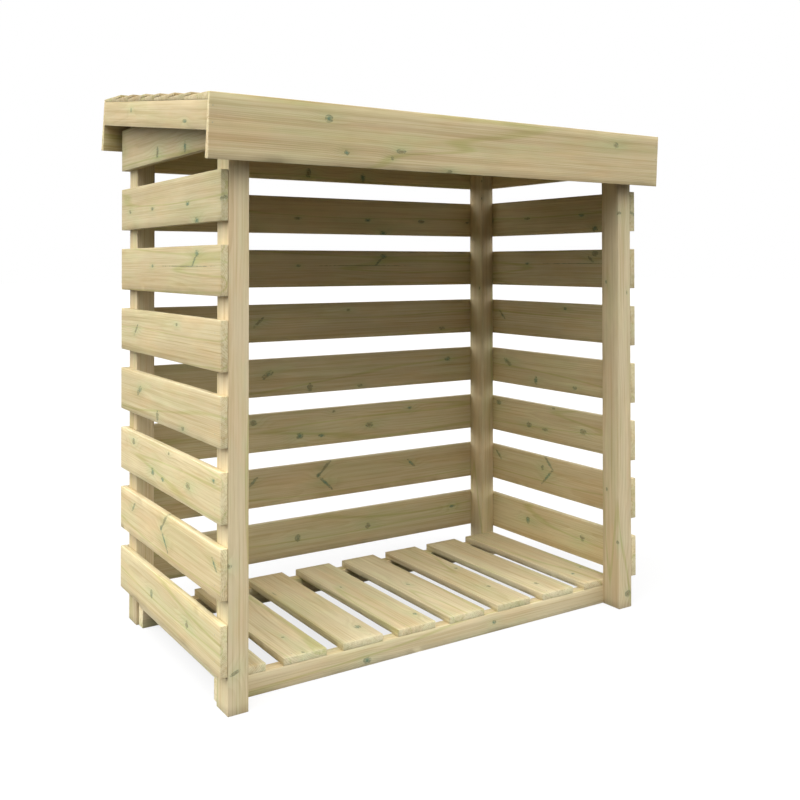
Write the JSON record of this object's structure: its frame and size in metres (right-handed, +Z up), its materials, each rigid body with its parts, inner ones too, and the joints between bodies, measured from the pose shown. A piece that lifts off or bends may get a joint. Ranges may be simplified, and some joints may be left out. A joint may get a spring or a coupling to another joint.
{
  "type": "slatted wooden log store",
  "caption": "Open-fronted garden log store of sawn timber: corner posts, slatted walls, a slatted floor and a low lean-to roof of lapped boards that falls to the front.",
  "frame": {"origin": "on the ground, under the middle of the whole store", "axes": "+Z up; the open front faces -Y and the slatted back wall +Y; +X is to the right, seen from the front"},
  "size_m": [1.142, 0.6714, 1.2046],
  "materials": {
    "post_timber": "sawn softwood, pressure treated",
    "slat_timber": "sawn softwood, pressure treated",
    "floor_timber": "sawn softwood, pressure treated",
    "roof_timber": "sawn softwood, pressure treated"
  },
  "bodies": {
    "root": {"front_left_post": "post_timber", "front_right_post": "post_timber", "back_left_post": "post_timber", "back_right_post": "post_timber", "left_slat_1": "slat_timber", "left_slat_2": "slat_timber", "left_slat_3": "slat_timber", "left_slat_4": "slat_timber", "left_slat_5": "slat_timber", "left_slat_6": "slat_timber", "left_slat_7": "slat_timber", "left_slat_8": "slat_timber", "right_slat_1": "slat_timber", "right_slat_2": "slat_timber", "right_slat_3": "slat_timber", "right_slat_4": "slat_timber", "right_slat_5": "slat_timber", "right_slat_6": "slat_timber", "right_slat_7": "slat_timber", "right_slat_8": "slat_timber", "back_slat_1": "slat_timber", "back_slat_2": "slat_timber", "back_slat_3": "slat_timber", "back_slat_4": "slat_timber", "back_slat_5": "slat_timber", "back_slat_6": "slat_timber", "back_slat_7": "slat_timber", "back_slat_8": "slat_timber", "front_floor_rail": "floor_timber", "back_floor_rail": "floor_timber", "floor_slats": "floor_timber", "roof_board_1": "roof_timber", "roof_board_2": "roof_timber", "roof_board_3": "roof_timber", "roof_board_4": "roof_timber", "roof_board_5": "roof_timber", "roof_board_6": "roof_timber", "roof_board_7": "roof_timber", "left_bargeboard": "roof_timber", "right_bargeboard": "roof_timber", "front_fascia": "roof_timber", "back_fascia": "roof_timber"}
  },
  "joints": []
}
